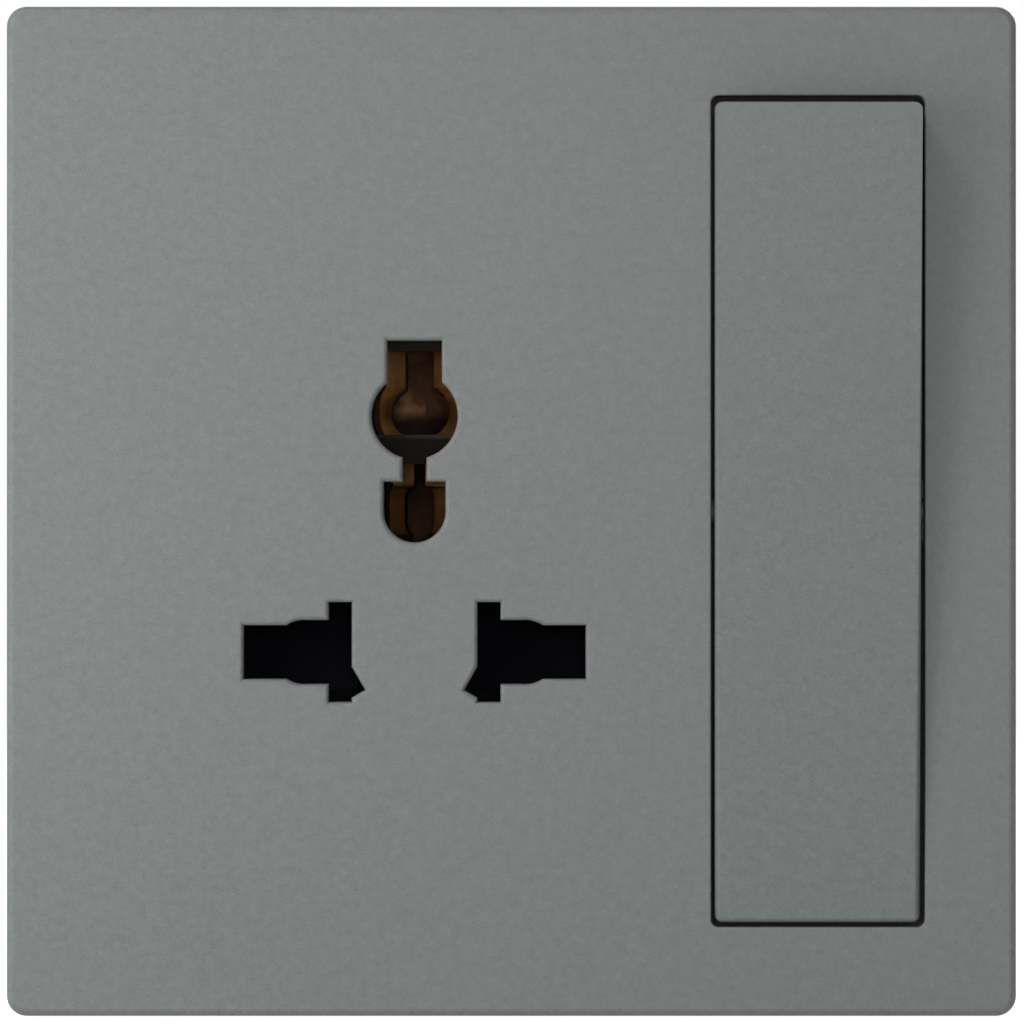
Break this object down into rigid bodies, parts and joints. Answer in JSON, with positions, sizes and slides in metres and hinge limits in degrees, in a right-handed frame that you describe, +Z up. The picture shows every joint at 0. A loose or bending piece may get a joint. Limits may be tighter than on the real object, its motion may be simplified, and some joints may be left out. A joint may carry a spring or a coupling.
{
  "type": "switched socket",
  "caption": "Square switched wall socket with a combined multi-standard pin outlet, a sprung shutter and one long rocking switch key.",
  "frame": {"origin": "centre of the plate in the plane of the wall", "axes": "+Z up, front towards -Y, +X to the right as seen from the front, +Y into the wall box"},
  "size_m": [0.086, 0.04, 0.086],
  "materials": {
    "plate": "fine matte, slate grey",
    "key": "fine matte, slate grey",
    "frame": "matte",
    "housing": "matte, moulded",
    "cover": "matte black",
    "shutter": "satin black",
    "spring": "drawn wire",
    "actuator": "satin",
    "pin": "ground",
    "plunger": "satin",
    "copper": "rolled copper alloy",
    "silver": "silver rivet",
    "brass": "rolled and folded",
    "terminal_brass": "machined",
    "screw_steel": "plated"
  },
  "bodies": {
    "base": {"front_plate": "plate", "mounting_frame": "frame", "rear_housing": "housing", "shutter_cover": "cover", "shutter_spring": "spring", "actuator_pin": "pin", "fulcrum_strip": "copper", "fixed_contact": "copper", "fixed_contact_tip": "silver", "line_contact": "brass", "neutral_contact": "brass", "earth_contact": "brass", "line_terminal": "terminal_brass", "neutral_terminal": "terminal_brass", "earth_terminal": "terminal_brass", "line_terminal_screw": "screw_steel", "neutral_terminal_screw": "screw_steel", "earth_terminal_screw": "screw_steel", "housing_screw_1": "screw_steel", "housing_screw_2": "screw_steel", "housing_screw_3": "screw_steel", "housing_screw_4": "screw_steel"},
    "rocker": {"rocker_key": "key"},
    "actuator": {"actuator": "actuator", "plunger_spring": "spring"},
    "plunger": {"plunger": "plunger"},
    "bridge": {"moving_contact": "copper", "moving_contact_tip": "silver"},
    "shutter": {"shutter_slider": "shutter"}
  },
  "joints": [
    {"name": "rocker_hinge", "type": "hinge", "parent": "base", "child": "rocker", "pos_m": [0.02604, -0.0049, 0.00005], "axis": [1, 0, 0], "range_deg": [-7.4, 0]},
    {"name": "actuator_hinge", "type": "hinge", "parent": "base", "child": "actuator", "pos_m": [0.0204, 0.0041, 0.00005], "axis": [1, 0, 0], "range_deg": [0, 22.2]},
    {"name": "plunger_slide", "type": "slide", "parent": "actuator", "child": "plunger", "axis": [0, 0.9813, -0.1925], "range_m": [-0.001, 0], "stiffness_N_per_m": 120, "springref_m": 0.005, "deforming": ["plunger_spring"]},
    {"name": "bridge_hinge", "type": "hinge", "parent": "base", "child": "bridge", "pos_m": [0.0204, 0.0136, 0.00005], "axis": [1, 0, 0], "range_deg": [-16, 0]},
    {"name": "shutter_slide", "type": "slide", "parent": "base", "child": "shutter", "axis": [0, 0, -1], "range_m": [0, 0.0092], "stiffness_N_per_m": 60, "springref_m": -0.012, "deforming": ["shutter_spring"]}
  ],
  "couplings": [
    {"joint": "actuator_hinge", "follows": "rocker_hinge", "ratio": -3},
    {"joint": "bridge_hinge", "follows": "rocker_hinge", "ratio": 2.1621}
  ]
}
